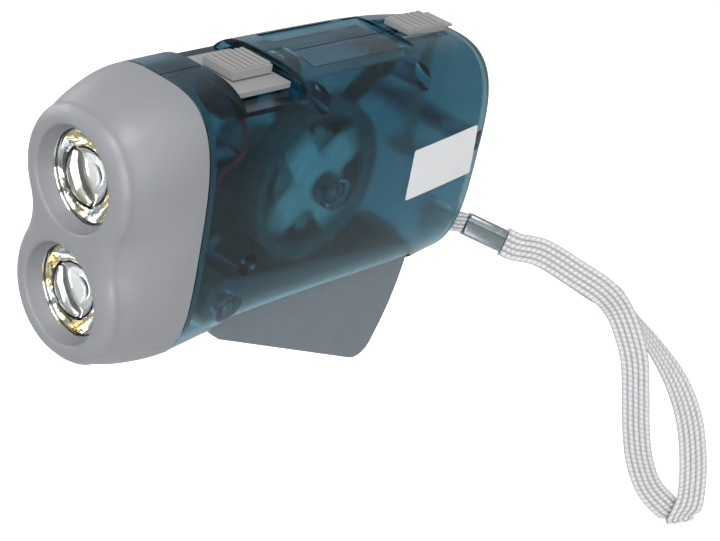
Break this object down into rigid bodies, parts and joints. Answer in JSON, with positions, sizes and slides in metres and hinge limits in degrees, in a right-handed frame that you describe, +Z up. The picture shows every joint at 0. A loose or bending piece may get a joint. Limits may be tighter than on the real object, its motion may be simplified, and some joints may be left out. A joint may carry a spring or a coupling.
{
  "type": "squeeze dynamo flashlight",
  "caption": "Hand torch with stacked lamps in a grey head, a clear housing round a flywheel dynamo, a sprung squeeze lever and a hanging wrist strap.",
  "frame": {"origin": "middle of the hand's grip, inside the housing", "axes": "+X from the lamps to the tail, +Z up, -Y the side with the label and the strap's anchor"},
  "size_m": [0.1511, 0.0946, 0.1156],
  "materials": {
    "clear_shell": "clear teal, polished",
    "head_grey": "satin silver grey",
    "lever_grey": "satin slate grey",
    "trim_grey": "matt",
    "chrome": "bright",
    "window": "clear",
    "led": "clear",
    "steel": "plated",
    "magnet": "sintered",
    "copper": "enamelled",
    "nylon": "moulded",
    "pale_clear": "moulded",
    "black": "moulded",
    "board": "lacquered",
    "red_sleeve": "soft",
    "black_sleeve": "soft",
    "braid": "flat braid"
  },
  "bodies": {
    "housing": {"head_shell": "head_grey", "housing_left": "clear_shell", "housing_right": "clear_shell", "switch_plate": "trim_grey", "lens_upper": "window", "lens_lower": "window", "reflector_upper": "chrome", "reflector_lower": "chrome", "led_upper": "led", "led_lower": "led", "led_board": "board", "lever_pin": "steel", "return_spring": "steel", "drive_axle": "steel", "bush_near": "black", "bush_far": "black", "claw_plate_near": "steel", "claw_plate_far": "steel", "coil_bobbin": "nylon", "coil_winding": "copper", "generator_frame": "pale_clear", "switch_block": "black", "battery_holder": "black", "battery_cell_1": "steel", "battery_cell_2": "steel", "battery_cell_3": "steel", "circuit_board": "board", "red_lead": "red_sleeve", "black_lead": "black_sleeve", "screw_1": "steel", "screw_2": "steel", "screw_3": "steel", "screw_4": "steel", "strap_pin": "steel", "strap_bight": "braid", "ferrule": "steel", "wrist_strap": "braid"},
    "squeeze_lever": {"lever": "lever_grey"},
    "drive_wheel": {"drive_gear": "nylon"},
    "ratchet_wheel": {"ratchet_gear": "nylon"},
    "rotor": {"flywheel": "pale_clear", "magnet_ring": "magnet", "flywheel_shaft": "steel", "pawl_ring": "nylon"},
    "switch": {"switch_knob": "trim_grey"},
    "lock": {"lock_slider": "trim_grey"}
  },
  "joints": [
    {"name": "lever_pivot", "type": "hinge", "parent": "housing", "child": "squeeze_lever", "pos_m": [-0.027, 0, -0.0165], "axis": [0, -1, 0], "range_deg": [0, 22], "stiffness_Nm_per_rad": 0.12, "springref_deg": -20.05},
    {"name": "drive_spin", "type": "hinge", "parent": "housing", "child": "drive_wheel", "pos_m": [0.01437, 0, 0.00267], "axis": [0, -1, 0], "range_deg": [-187.5, 0.5]},
    {"name": "ratchet_spin", "type": "hinge", "parent": "housing", "child": "ratchet_wheel", "pos_m": [-0.0024, 0, 0.0036], "axis": [0, -1, 0], "range_deg": [-1, 600]},
    {"name": "flywheel_spin", "type": "hinge", "parent": "housing", "child": "rotor", "pos_m": [-0.0024, 0, 0.0036], "axis": [0, -1, 0], "continuous": true},
    {"name": "switch_slide", "type": "slide", "parent": "housing", "child": "switch", "axis": [-1, 0, 0], "range_m": [0, 0.0025]},
    {"name": "lock_slide", "type": "slide", "parent": "housing", "child": "lock", "axis": [-1, 0, 0], "range_m": [0, 0.0035]}
  ],
  "couplings": [
    {"joint": "drive_spin", "follows": "lever_pivot", "ratio": -8.5},
    {"joint": "ratchet_spin", "follows": "lever_pivot", "ratio": 27.2}
  ]
}
